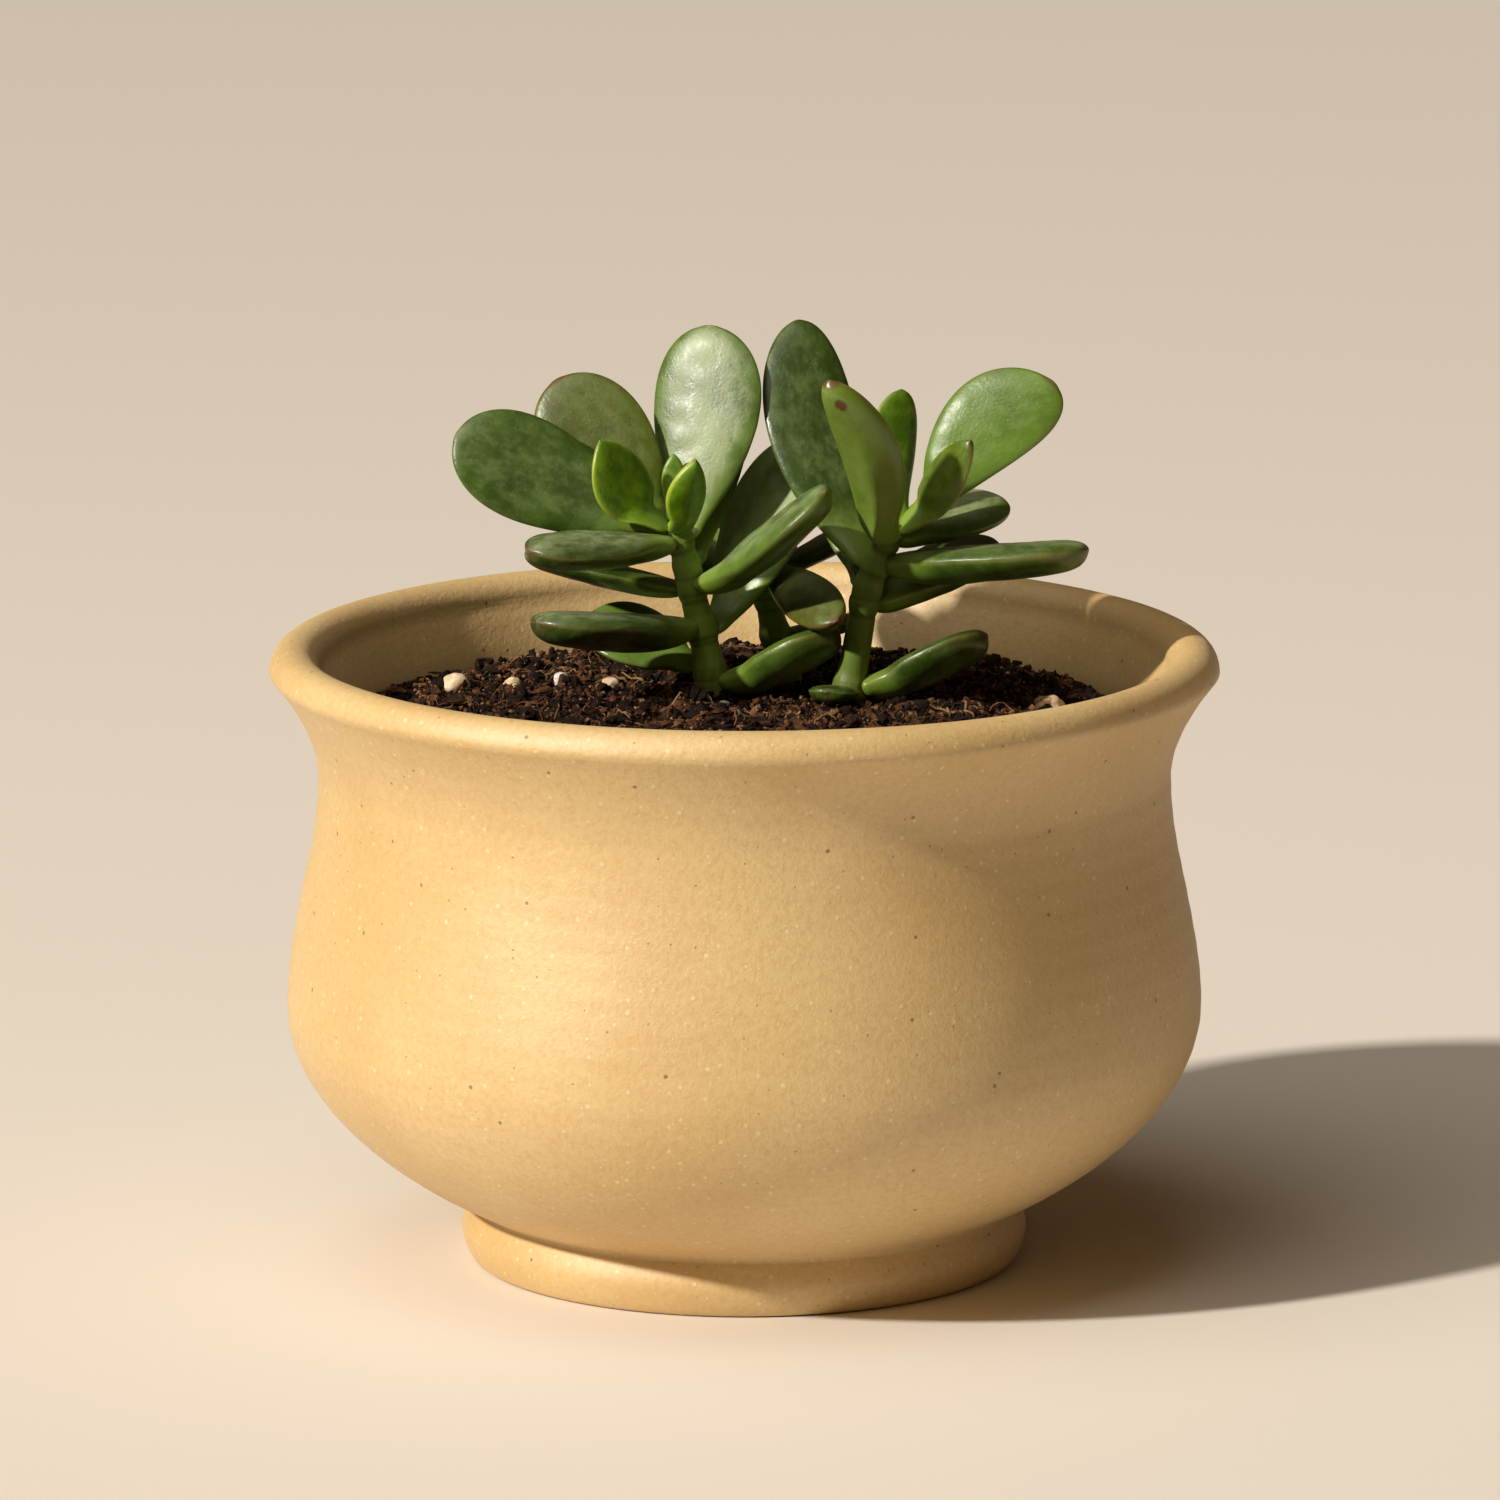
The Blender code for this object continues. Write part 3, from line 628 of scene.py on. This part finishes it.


# tone and bloom are partly each leaf's own colour and partly painted light and shade: both are raised on
# leaves drawn as if lit, such as left_leaf_04 and right_leaf_06, and tone is lowered on leaves drawn as if
# shaded, such as right_leaf_10
leaves = {
    "left_leaf_01": leaf("left", 3.8, -15, 27, -20, 18.0, 9.4, 4.6, point=0.05, tone=0.35, bloom=0.1,
                         blush=0.4),
    "left_leaf_02": leaf("left", 5.4, 150, 20, -25, 18.0, 11.0, 3.0, tone=0.7, bloom=0.15),
    "left_leaf_03": leaf("left", 10.8, -142, 8, 2, 26.0, 12.0, 5.0, tone=0.1, bloom=0.7, blush=0.3),
    "left_leaf_04": leaf("left", 10.0, 44, 58, 6, 28.4, 13.4, 3.2, tone=0.95, bloom=1.0, blush=0.1),
    "left_leaf_05": leaf("left", 15.4, 148, 6, 10, 24.5, 12.0, 3.2, tone=0.0, bloom=0.05),
    "left_leaf_06": leaf("left", 16.4, -37, 37, 24, 25.4, 11.2, 4.6, sway=0.02, tone=0.4, bloom=0.5,
                         blush=0.4),
    "left_leaf_07": leaf("left", 21.8, -145, 3, -10, 23.0, 10.0, 4.2, tone=0.15, bloom=0.7, blush=0.5),
    "left_leaf_08": leaf("left", 18.6, 73, 56, 24, 30.0, 8.4, 2.8, tone=0.3, bloom=0.05, olive=0.4,
                         blush=0.6),
    "left_leaf_09": leaf("left", 23.0, 177, 25, -60, 30.5, 14.0, 3.2, curl=0.02, widest=0.66, tone=0.3,
                         bloom=0.15, blush=0.2),
    "left_leaf_10": leaf("left", 22.0, 72, 70, -4, 28.0, 14.6, 3.4, sway=-0.03, widest=0.64, tone=0.42,
                         bloom=0.75, blush=0.1),
    "left_leaf_11": leaf("left", 22.6, 145, 48, -50, 26.0, 14.0, 3.0, tone=0.22, bloom=0.03, olive=0.5,
                         blush=1.0),
    "left_leaf_12": leaf("left", 24.0, 190, 56, -60, 14.5, 8.5, 2.0, curl=0.05, sway=0.05, point=0.3,
                         young=0.75, bloom=0.0, blush=0.25),
    "left_leaf_13": leaf("left", 23.6, -68, 66, 0, 11.5, 5.0, 1.8, curl=0.05, sway=-0.06, point=0.35,
                         young=1.0, bloom=0.0, blush=0.8),
    "left_leaf_14": leaf("left", 24.8, 90, 78, 0, 8.0, 3.0, 1.5, point=0.2, young=0.6, bloom=0.1, blush=0.2),
    "right_leaf_01": leaf("right", 3.8, 0, 24, -28, 18.4, 9.0, 4.4, point=0.05, tone=0.05, bloom=0.15,
                          blush=0.5),
    "right_leaf_02": leaf("right", 3.4, -110, 10, 0, 9.0, 6.0, 2.4, tone=0.1, bloom=0.0, blush=0.2),
    "right_leaf_03": leaf("right", 14.4, 42, 17, 0, 22.0, 13.0, 4.2, tone=0.1, bloom=0.05, olive=0.3),
    "right_leaf_04": leaf("right", 19.7, -12, 6, -4, 27.2, 11.4, 4.9, tone=0.25, bloom=0.5, blush=0.6),
    "right_leaf_05": leaf("right", 19.2, 120, 60, -8, 34.5, 12.0, 3.6, sway=0.05, twist=-10, widest=0.58,
                          tone=0.12, bloom=0.1, blush=0.3),
    "right_leaf_06": leaf("right", 22.6, 46, 10, 8, 20.0, 12.4, 3.4, tone=0.5, bloom=1.0, blush=0.1),
    "right_leaf_07": leaf("right", 16.6, 92, 44, 0, 19.0, 11.0, 3.0),
    "right_leaf_08": leaf("right", 22.8, -118, 60, 15, 27.6, 7.8, 3.7, sway=0.1, keel=0.5, widest=0.54,
                          tone=1.0, bloom=0.6, olive=0.35, blush=1.0, fleck=1.0),
    "right_leaf_09": leaf("right", 24.4, 8, 46, 62, 26.8, 12.2, 3.2, sway=0.1, widest=0.68, tone=0.62,
                          bloom=0.05, blush=0.7),
    "right_leaf_10": leaf("right", 24.4, -36, 54, 78, 16.5, 6.0, 2.2, point=0.25, tone=0.0, young=0.31,
                          bloom=0.0, olive=0.5, blush=1.0),
    "right_leaf_11": leaf("right", 24.2, 82, 76, 30, 17.5, 6.4, 2.2, sway=0.06, tone=0.2, young=0.5,
                          bloom=0.0, blush=0.3),
    "back_leaf_01": leaf("back", 7.4, 20, 10, -10, 11.0, 7.5, 2.8, bloom=0.8),
    "back_leaf_02": leaf("back", 16.6, -67, -9, 34, 24.5, 7.0, 3.4, keel=0.6, dish=0.3, tone=0.1,
                         bloom=0.25, olive=0.6, blush=1.0),
    "back_leaf_03": leaf("back", 12.0, 100, 24, 0, 20.0, 12.0, 3.2),
    "back_leaf_04": leaf("back", 13.6, 160, 32, 0, 20.0, 11.0, 3.0),
    "back_leaf_05": leaf("back", 16.4, 0, 26, 0, 16.0, 10.0, 3.0),
    "back_leaf_06": leaf("back", 17.6, 75, 52, 0, 15.0, 8.0, 2.4, young=0.4, bloom=0.2),
    "back_leaf_07": leaf("back", 18.6, 140, 62, 0, 12.0, 6.4, 2.0, young=0.6, bloom=0.1),
}


def packRings(grid):
    # every ring point in turn, then one point for each end
    rows, around = leafShape["rows"], leafShape["around"]
    return np.concatenate([grid[:rows].reshape(rows * around, -1), grid[rows:, 0].reshape(2, -1)])


def leafPoints(v, seed):
    # rings along a midrib: obovate outline, thick lens section with a crisp margin, neck bent into the stem
    azimuth, rise, roll = (math.radians(v[key]) for key in ("azimuth", "rise", "roll"))
    outward = np.array([math.cos(azimuth), math.sin(azimuth), 0.0])
    midrib = outward * math.cos(rise) + np.array([0, 0, math.sin(rise)])
    level = np.array([-math.sin(azimuth), math.cos(azimuth), 0.0])
    lifted = np.cross(midrib, level)
    reach = leafShape["stemRadius"] + leafShape["gap"] + 0.3 * v["thick"] * abs(math.sin(rise))
    length = v["length"] - reach * math.cos(rise)
    start = stemAt(v["stem"], v["height"]) + outward * reach

    t = (1 - np.cos(np.pi * np.linspace(0, 1, leafShape["rows"] + 2)[1:-1])) / 2
    t = np.concatenate([t, [0.0, 1.0]])
    widest = v["widest"]
    swell = 0.5 * widest / (1 - widest)
    blade = v["width"] / 2 * (t / widest) ** swell * ((1 - t) / (1 - widest)) ** (0.5 + v["point"])
    clasp = 1 + leafShape["clasp"] * np.exp(-((t * length / leafShape["claspReach"]) ** 2))
    neck = min(leafShape["neck"] / 2, v["width"] / 4) * np.minimum(1, t / leafShape["neckRounding"]) ** 0.5
    neck = neck * (1 - t) ** 0.5 * clasp
    half = (blade ** 3 + neck ** 3) ** (1 / 3)
    full = np.clip(1 - np.abs(2 * t - 1) ** leafShape["bluntness"], 0, 1) ** 0.5
    middleShare = leafShape["fullMiddle"]
    thick = v["thick"] * full * (1 - middleShare + middleShare * np.sin(np.pi * np.clip(t, 0, 1)) ** 0.8)

    turn = np.linspace(0, 2 * np.pi, leafShape["around"], endpoint=False)
    side, face = np.cos(turn), np.sin(turn)
    inner = np.clip(1 - side ** 2, 0, 1)
    upper = inner ** leafShape["upperEdge"] - v["dish"] * inner ** 2
    lower = inner ** leafShape["lowerEdge"]
    keel = v["keel"] * np.exp(-(side / leafShape["keelWidth"]) ** 2)
    keel = keel * (ease((0.95 - t) / 0.9) * ease(t / 0.12))[:, None]
    share = leafShape["upperShare"]
    lift = np.where(face > 0, share * upper, -(1 - share) * (lower + keel)) * thick[:, None]

    along = v["arch"] * 4 * t * (1 - t) + v["curl"] * t ** 2
    bent = ease(t / leafShape["bend"])
    roll = roll * (0.3 + 0.7 * ease(t / 0.3)) + math.radians(v["twist"]) * t
    acrossAt = np.cos(roll)[:, None] * level + np.sin(roll)[:, None] * lifted
    upAt = np.cos(roll)[:, None] * lifted - np.sin(roll)[:, None] * level
    sideways = v["sway"] * 4 * t * (1 - t)
    mucro = v["mucro"] * np.clip((t - 1 + leafShape["pointLength"]) / leafShape["pointLength"], 0, 1) ** 2
    middle = start + midrib * (length * t + mucro)[:, None] + upAt * (along * length)[:, None]
    middle = middle + acrossAt * (sideways * length)[:, None]
    inset = leafShape["rootInset"]
    back = outward * (reach - inset) + np.array([0, 0, inset * math.sin(rise)])
    middle = middle - (1 - bent)[:, None] * back
    place = middle[:, None] + acrossAt[:, None] * (half[:, None] * side)[..., None]
    place = place + upAt[:, None] * lift[..., None]
    waver = sum(height * hills(place + 7 * seed, pitch, 60 + i)
                for i, (height, pitch) in enumerate(leafShape["waver"]))
    place = place + upAt[:, None] * (waver * (t * (1 - t) * 4)[:, None])[..., None]

    local = np.stack(np.broadcast_arrays((t * length)[:, None], half[:, None] * side, lift), axis=-1)
    values = {"leafPlace": packRings(local + 31.0 * seed) * mm}
    whole = {"along": t[:, None], "edge": np.abs(side), "face": 0.5 + face / 2, "side": side}
    whole.update((key, v[key]) for key in ("tone", "bloom", "blush", "young", "olive", "fleck"))
    for key, value in whole.items():
        values[key] = packRings(np.broadcast_to(value, lift.shape)[..., None])[:, 0]
    return packRings(place), values


jade = dict(dark="#2E430B", light="#698A27", olive="#6E6A1E", mottle="#728E3A", shoot="#4F7A06",
            shootLight="#7BA012", shootRim="#B6C63A", base="#7F9B34", bloom="#A8B088", pore="#C6CCA6",
            rim="#7A5230", paintedRidgeHighlight="#A9AC5A", tip="#5E3420", fleck="#5A2413", broadSize=7, mottleSize=1.6,
            fineSize=0.5, poreSpacing=0.8, poreRadius=0.12, poreShare=0.6, fleckSide=0.1, fleckAlong=0.9,
            depth=0.2)


def waxyJadeLeaf():
    # succulent leaf: deep green flesh that lets a little light through, under a waxy grey bloom with pale
    # pores. Real pores are under 0.1 mm, too fine to show, so they are drawn larger and wider apart
    made, tree, shader = startMaterial("waxy_jade_leaf", IOR=1.45, Specular_IOR_Level=0.6, Coat_Weight=0.12,
                                       Coat_Roughness=0.28, Subsurface_Weight=0.22,
                                       Subsurface_Scale=1.6 * mm, Subsurface_Radius=(0.8, 1.0, 0.25))
    value = {key: addNode(tree, "Attribute", attribute_name=key, output="Fac")
             for key in ("along", "edge", "side", "face", "tone", "bloom", "olive", "blush", "fleck", "young")}
    place = addNode(tree, "Attribute", attribute_name="leafPlace", output="Vector")
    long = addNode(tree, "Mapping", Vector=place, Scale=(0.75, 1, 1))
    broad = addNode(tree, "TexNoise", Vector=place, Scale=perMetre(jade["broadSize"]), Detail=3.0)
    mottle = addNode(tree, "TexNoise", Vector=long, Scale=perMetre(jade["mottleSize"]), Detail=4.0,
                     Roughness=0.62)
    fine = addNode(tree, "TexNoise", Vector=place, Scale=perMetre(jade["fineSize"]), Detail=3.0,
                   Roughness=0.6)
    pores = specks(tree, place, jade["poreSpacing"], jade["poreRadius"], jade["poreShare"])

    # flesh: the leaf's green, from dark to light by its tone, which is partly painted light and shade, with
    # olive and mottling, or a shoot's bright green with a yellow rim
    # painted light and shade: a higher tone makes a leaf drawn as if lit paler, a lower tone makes one drawn
    # as if shaded darker
    lightness = addNode(tree, "Math", value["tone"], broad, **add)
    lightness = addNode(tree, "MapRange", lightness, 0.5, 1.5, **soft)
    green = paintOver(tree, linearColour(jade["dark"]), jade["light"], lightness)
    green = paintOver(tree, green, jade["olive"], value["olive"], 0.7)
    paler = addNode(tree, "MapRange", mottle, 0.4, 0.75, **soft)
    green = paintOver(tree, green, jade["mottle"], paler, 0.28)
    blotch = addNode(tree, "MapRange", mottle, 0.3, 0.7, **soft)
    shoot = paintOver(tree, linearColour(jade["shoot"]), jade["shootLight"], blotch)
    margin = addNode(tree, "MapRange", value["edge"], 0.82, 1.0, **soft)
    shoot = paintOver(tree, shoot, jade["shootRim"], margin, 0.7)
    colour = addNode(tree, "Mix", value["young"], green, shoot, **blend)
    atBase = addNode(tree, "MapRange", value["along"], 0.02, 0.3, 1.0, 0.0, **soft)
    colour = paintOver(tree, colour, jade["base"], atBase, 0.75)

    # bloom: in patches, most on top and away from the margin, with the pores pale in it; raised as painted
    # light on leaves drawn as if lit
    cloud = addNode(tree, "Math", broad, 0.4, addNode(tree, "Math", mottle, 0.6, **multiply), **timesPlus)
    grey = value["bloom"]
    for source, *span in ((value["face"], 0.3, 0.7, 0.25, 1.0), (cloud, 0.35, 0.62, 0.25, 1.0),
                          (value["edge"], 0.4, 0.95, 1.0, 0.1)):
        grey = addNode(tree, "Math", grey, addNode(tree, "MapRange", source, *span, **soft), **multiply)
    colour = paintOver(tree, colour, jade["bloom"], grey, 0.75)
    colour = paintOver(tree, colour, jade["pore"], pores, addNode(tree, "Math", grey, 0.5, 0.05, **timesPlus))

    # margin and tip: reddened towards the tip as far as the leaf blushes, with a painted highlight as a pale
    # line along the edge
    worn = addNode(tree, "Math", fine, 0.12, value["edge"], **timesPlus)
    rim = value["blush"]
    for source, low, high in ((worn, 0.96, 1.06), (value["along"], 0.45, 0.95)):
        rim = addNode(tree, "Math", rim, addNode(tree, "MapRange", source, low, high, **soft), **multiply)
    colour = paintOver(tree, colour, jade["rim"], rim, 0.45)
    # painted highlight: a thin pale line along the margin, where the edge would catch the light
    paintedRidgeHighlight = addNode(tree, "MapRange", value["edge"], 0.98, 1.0, **soft)
    colour = paintOver(tree, colour, jade["paintedRidgeHighlight"], paintedRidgeHighlight, 0.16)
    atTip = addNode(tree, "MapRange", value["along"], 0.968, 0.992, **soft)
    tip = addNode(tree, "Math", atTip, value["blush"], **multiply)
    colour = paintOver(tree, colour, jade["tip"], tip, 0.8)

    # one brown fleck near the tip: bright where the squared distance from its middle is small
    offSide = addNode(tree, "Math", value["side"], jade["fleckSide"], operation="SUBTRACT")
    offTip = addNode(tree, "Math", value["along"], jade["fleckAlong"], operation="SUBTRACT")
    away = addNode(tree, "Math", offTip, offTip, **multiply)
    away = addNode(tree, "Math", fine, 0.002, away, **timesPlus)
    slight = addNode(tree, "Math", offSide, 0.012, **multiply)
    away = addNode(tree, "Math", slight, offSide, away, **timesPlus)
    mark = addNode(tree, "MapRange", away, 0.0014, 0.0026, 1.0, 0.0, **soft)
    mark = addNode(tree, "Math", mark, value["fleck"], **multiply)
    colour = paintOver(tree, colour, jade["fleck"], mark, 0.85)

    rough = addNode(tree, "MapRange", mottle, 0.3, 0.7, 0.3, 0.46, **soft)
    rough = addNode(tree, "Math", grey, 0.14, rough, **timesPlus)
    tree.links.new(rough, shader.inputs["Roughness"])
    relief = 0.0
    for height, weight in ((fine, 0.6), (mottle, 0.9), (pores, 0.2)):
        relief = addNode(tree, "Math", height, weight, relief, **timesPlus)
    giveSurface(tree, shader, colour, relief, 0.35, jade["depth"])
    return made


def buildLeaves():
    finish = waxyJadeLeaf()
    faces = ballFaces(leafShape["rows"], leafShape["around"])
    for seed, (name, v) in enumerate(leaves.items()):
        points, values = leafPoints(v, seed)
        slot = "young_leaf" if v["young"] > 0.3 else "leaf"
        makePiece(f"jade_{name}", points * mm, faces, finish, slot, [name], values)
    print(f"leaves: {len(leaves)} made")


studio = dict(lens=284, sensor=36, distance=1500, elevation=12.4, target=40.0, aimSide=0.7, aimHeight=65.2,
              sunSide=-59.0, sunHeight=33.0, sunStrength=3.9, sunWidth=3.0, sunColour="#FFF8EC",
              boxSide=-50.0, boxHeight=68.0, boxAway=1100, boxSize=900, boxPower=4.4, boxColour="#FFF6EA",
              skyStrength=0.055, skyColour="#FFD3A0", floor="#E6DED4", floorSize=2600, nearest=50,
              farthest=50000)


def inScene(name, data):
    # an object put in the scene
    made = bpy.data.objects.new(name, data)
    bpy.context.scene.collection.objects.link(made)
    return made


def towards(side, height):
    # the way to a light: degrees to the side of the front, and above level
    side, height = math.radians(side), math.radians(height)
    return Vector((math.sin(side) * math.cos(height), -math.cos(side) * math.cos(height), math.sin(height)))


def buildStudio():
    scene = bpy.context.scene
    away = studio["distance"] * mm
    camera = inScene("studio_camera", bpy.data.cameras.new("studio_camera"))
    camera.location = towards(0.0, studio["elevation"]) * away + Vector((0.0, 0.0, studio["target"] * mm))
    aim = Vector((studio["aimSide"] * mm, 0.0, studio["aimHeight"] * mm))
    camera.rotation_euler = (aim - camera.location).to_track_quat("-Z", "Y").to_euler()
    camera.data.lens = studio["lens"]
    camera.data.sensor_width = studio["sensor"]
    camera.data.clip_start = studio["nearest"] * mm
    camera.data.clip_end = studio["farthest"] * mm
    scene.camera = camera

    sun = inScene("warm_key", bpy.data.lights.new("warm_key", "SUN"))
    sun.rotation_euler = towards(studio["sunSide"], studio["sunHeight"]).to_track_quat("Z", "Y").to_euler()
    sun.data.energy = studio["sunStrength"]
    sun.data.angle = math.radians(studio["sunWidth"])
    sun.data.color = linearColour(studio["sunColour"])[:3]

    softbox = inScene("soft_window", bpy.data.lights.new("soft_window", "AREA"))
    toBox = towards(studio["boxSide"], studio["boxHeight"])
    softbox.location = toBox * studio["boxAway"] * mm
    softbox.rotation_euler = toBox.to_track_quat("Z", "Y").to_euler()
    softbox.data.size = studio["boxSize"] * mm
    softbox.data.energy = studio["boxPower"]
    softbox.data.color = linearColour(studio["boxColour"])[:3]

    scene.world = bpy.data.worlds.new("soft_room_light")
    scene.world.use_nodes = True
    background = scene.world.node_tree.nodes["Background"]
    background.inputs["Color"].default_value = linearColour(studio["skyColour"])
    background.inputs["Strength"].default_value = studio["skyStrength"]

    half = studio["floorSize"] / 2 * mm
    mesh = bpy.data.meshes.new("pale_floor")
    corners = [(-half, -half, 0), (half, -half, 0), (half, half, 0), (-half, half, 0)]
    mesh.from_pydata(corners, [], [(0, 1, 2, 3)])
    floor = inScene("pale_floor", mesh)
    paint, _, shader = startMaterial("pale_floor_paint", Roughness=0.9, Specular_IOR_Level=0.2)
    shader.inputs["Base Color"].default_value = linearColour(studio["floor"])
    mesh.materials.append(paint)
    scene.view_settings.view_transform = "Standard"
    print("studio: floor, light and camera made")


buildPot()
buildMix()
buildGrains()
buildStems()
buildLeaves()
buildStudio()
